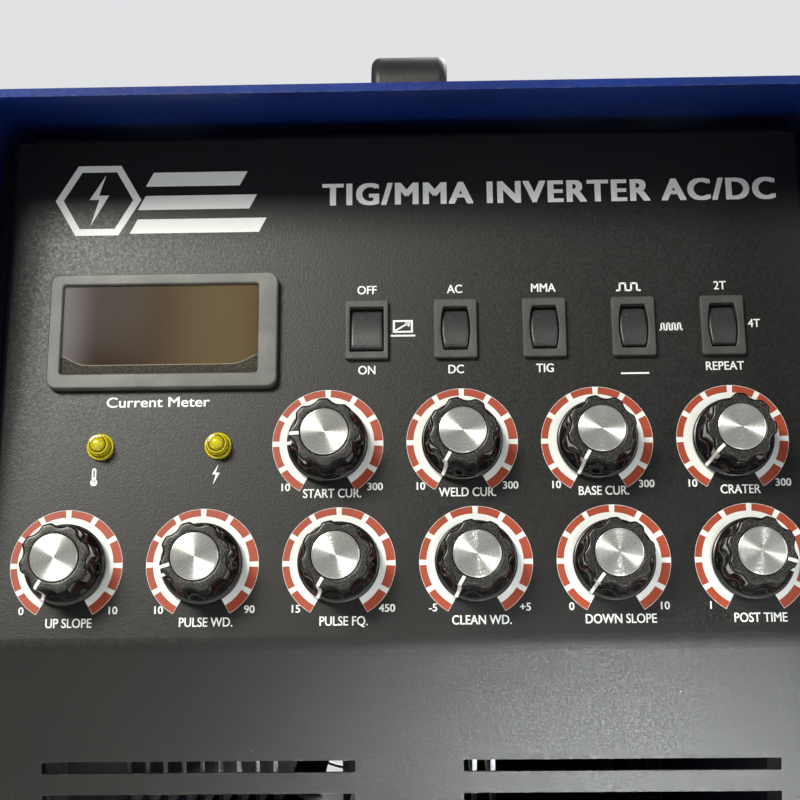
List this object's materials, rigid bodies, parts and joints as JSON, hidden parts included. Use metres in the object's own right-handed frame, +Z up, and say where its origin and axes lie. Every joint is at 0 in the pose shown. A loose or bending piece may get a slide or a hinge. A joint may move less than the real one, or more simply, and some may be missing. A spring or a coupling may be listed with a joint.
{
  "type": "tig welding machine",
  "caption": "Upright AC/DC TIG welding power source: hooded blue cover, leaning black control face with turning knobs, rocker switches and a meter, output sockets below, fan behind.",
  "frame": {"origin": "centre of the footprint, on the floor", "axes": "+Z up, the control face at -Y, the machine's right side (seen from the front) at +X"},
  "size_m": [0.3052, 0.592, 0.496],
  "materials": {
    "blue_paint": "satin powder coat",
    "black_paint": "fine orange-peel powder coat",
    "black_plastic": "moulded, satin",
    "switch_plastic": "moulded, fine grain",
    "knob_moulding": "glossy black moulding",
    "spun_aluminium": "spun, radial sheen",
    "rubber": "matte",
    "zinc_screw": "zinc plated",
    "zinc_sheet": "galvanised",
    "nickel": "nickel plated",
    "brass": "turned",
    "tinted_window": "smoked clear plastic",
    "bezel_plastic": "moulded, dusty satin",
    "lamp_lens": "clear yellow lens",
    "circuit_board": "green solder mask",
    "display_block": "dark segment block",
    "breaker_plastic": "moulded",
    "lever_plastic": "moulded",
    "fan_plastic": "glass-filled moulding",
    "extruded_aluminium": "mill finish",
    "winding_varnish": "varnished winding and core",
    "copper_winding": "enamelled wire",
    "capacitor_sleeve": "shrink sleeve"
  },
  "bodies": {
    "root": {"wrap_cover": "blue_paint", "base_tray": "black_paint", "front_panel": "black_paint", "connector_plate": "black_plastic", "rear_panel": "black_paint", "board_shelf": "zinc_sheet", "carry_handle": "black_plastic", "rubber_feet": "rubber", "case_screws": "zinc_screw", "potentiometers": "nickel", "control_board": "circuit_board", "switch_housings": "switch_plastic", "meter_bezel": "bezel_plastic", "meter_window": "tinted_window", "meter_display": "display_block", "indicator_lamps": "lamp_lens", "socket_housings": "black_plastic", "socket_inserts": "brass", "gas_outlet": "brass", "control_sockets": "nickel", "fan_frame": "fan_plastic", "fan_guard": "zinc_screw", "breaker_body": "breaker_plastic", "cable_gland": "black_plastic", "gas_inlet": "brass", "gas_valve": "nickel", "gas_hose": "rubber", "earth_stud": "brass", "heat_sinks": "extruded_aluminium", "main_transformer": "winding_varnish", "output_choke": "copper_winding", "inverter_board": "circuit_board", "capacitors": "capacitor_sleeve"},
    "start_current_knob": {"knob_start_current": "knob_moulding", "cap_start_current": "spun_aluminium"},
    "weld_current_knob": {"knob_weld_current": "knob_moulding", "cap_weld_current": "spun_aluminium"},
    "base_current_knob": {"knob_base_current": "knob_moulding", "cap_base_current": "spun_aluminium"},
    "crater_current_knob": {"knob_crater_current": "knob_moulding", "cap_crater_current": "spun_aluminium"},
    "up_slope_knob": {"knob_up_slope": "knob_moulding", "cap_up_slope": "spun_aluminium"},
    "pulse_width_knob": {"knob_pulse_width": "knob_moulding", "cap_pulse_width": "spun_aluminium"},
    "pulse_frequency_knob": {"knob_pulse_frequency": "knob_moulding", "cap_pulse_frequency": "spun_aluminium"},
    "clean_width_knob": {"knob_clean_width": "knob_moulding", "cap_clean_width": "spun_aluminium"},
    "down_slope_knob": {"knob_down_slope": "knob_moulding", "cap_down_slope": "spun_aluminium"},
    "post_flow_knob": {"knob_post_flow": "knob_moulding", "cap_post_flow": "spun_aluminium"},
    "remote_rocker": {"rocker_remote": "switch_plastic"},
    "ac_dc_rocker": {"rocker_ac_dc": "switch_plastic"},
    "mma_tig_rocker": {"rocker_mma_tig": "switch_plastic"},
    "pulse_rocker": {"rocker_pulse": "switch_plastic"},
    "trigger_mode_rocker": {"rocker_trigger_mode": "switch_plastic"},
    "fan": {"fan_rotor": "fan_plastic"},
    "breaker": {"breaker_lever": "lever_plastic"}
  },
  "joints": [
    {"name": "start_current_turn", "type": "hinge", "parent": "root", "child": "start_current_knob", "pos_m": [-0.0271, -0.25628, 0.32492], "axis": [0, 0.9659, -0.2588], "range_deg": [-58, 242]},
    {"name": "weld_current_turn", "type": "hinge", "parent": "root", "child": "weld_current_knob", "pos_m": [0.0191, -0.25628, 0.32492], "axis": [0, 0.9659, -0.2588], "range_deg": [0, 300]},
    {"name": "base_current_turn", "type": "hinge", "parent": "root", "child": "base_current_knob", "pos_m": [0.0653, -0.25628, 0.32492], "axis": [0, 0.9659, -0.2588], "range_deg": [0, 300]},
    {"name": "crater_current_turn", "type": "hinge", "parent": "root", "child": "crater_current_knob", "pos_m": [0.1115, -0.25628, 0.32492], "axis": [0, 0.9659, -0.2588], "range_deg": [-16, 284]},
    {"name": "up_slope_turn", "type": "hinge", "parent": "root", "child": "up_slope_knob", "pos_m": [-0.1155, -0.26701, 0.28488], "axis": [0, 0.9659, -0.2588], "range_deg": [0, 300]},
    {"name": "pulse_width_turn", "type": "hinge", "parent": "root", "child": "pulse_width_knob", "pos_m": [-0.0693, -0.26701, 0.28488], "axis": [0, 0.9659, -0.2588], "range_deg": [-43, 257]},
    {"name": "pulse_frequency_turn", "type": "hinge", "parent": "root", "child": "pulse_frequency_knob", "pos_m": [-0.0231, -0.26701, 0.28488], "axis": [0, 0.9659, -0.2588], "range_deg": [0, 300]},
    {"name": "clean_width_turn", "type": "hinge", "parent": "root", "child": "clean_width_knob", "pos_m": [0.0231, -0.26701, 0.28488], "axis": [0, 0.9659, -0.2588], "range_deg": [0, 300]},
    {"name": "down_slope_turn", "type": "hinge", "parent": "root", "child": "down_slope_knob", "pos_m": [0.0693, -0.26701, 0.28488], "axis": [0, 0.9659, -0.2588], "range_deg": [-7, 293]},
    {"name": "post_flow_turn", "type": "hinge", "parent": "root", "child": "post_flow_knob", "pos_m": [0.1155, -0.26701, 0.28488], "axis": [0, 0.9659, -0.2588], "range_deg": [-258, 42]},
    {"name": "remote_tip", "type": "hinge", "parent": "root", "child": "remote_rocker", "pos_m": [-0.0136, -0.24482, 0.36383], "axis": [1, 0, 0], "range_deg": [0, 22]},
    {"name": "ac_dc_tip", "type": "hinge", "parent": "root", "child": "ac_dc_rocker", "pos_m": [0.0174, -0.24482, 0.36383], "axis": [1, 0, 0], "range_deg": [0, 22]},
    {"name": "mma_tig_tip", "type": "hinge", "parent": "root", "child": "mma_tig_rocker", "pos_m": [0.0484, -0.24482, 0.36383], "axis": [1, 0, 0], "range_deg": [0, 22]},
    {"name": "pulse_tip", "type": "hinge", "parent": "root", "child": "pulse_rocker", "pos_m": [0.0794, -0.24482, 0.36383], "axis": [1, 0, 0], "range_deg": [0, 22]},
    {"name": "trigger_mode_tip", "type": "hinge", "parent": "root", "child": "trigger_mode_rocker", "pos_m": [0.1104, -0.24482, 0.36383], "axis": [1, 0, 0], "range_deg": [0, 22]},
    {"name": "fan_spin", "type": "hinge", "parent": "root", "child": "fan", "pos_m": [-0.045, 0.23, 0.145], "axis": [0, 1, 0], "continuous": true},
    {"name": "breaker_throw", "type": "hinge", "parent": "root", "child": "breaker", "pos_m": [0.095, 0.264, 0.33], "axis": [1, 0, 0], "range_deg": [0, 80]}
  ]
}
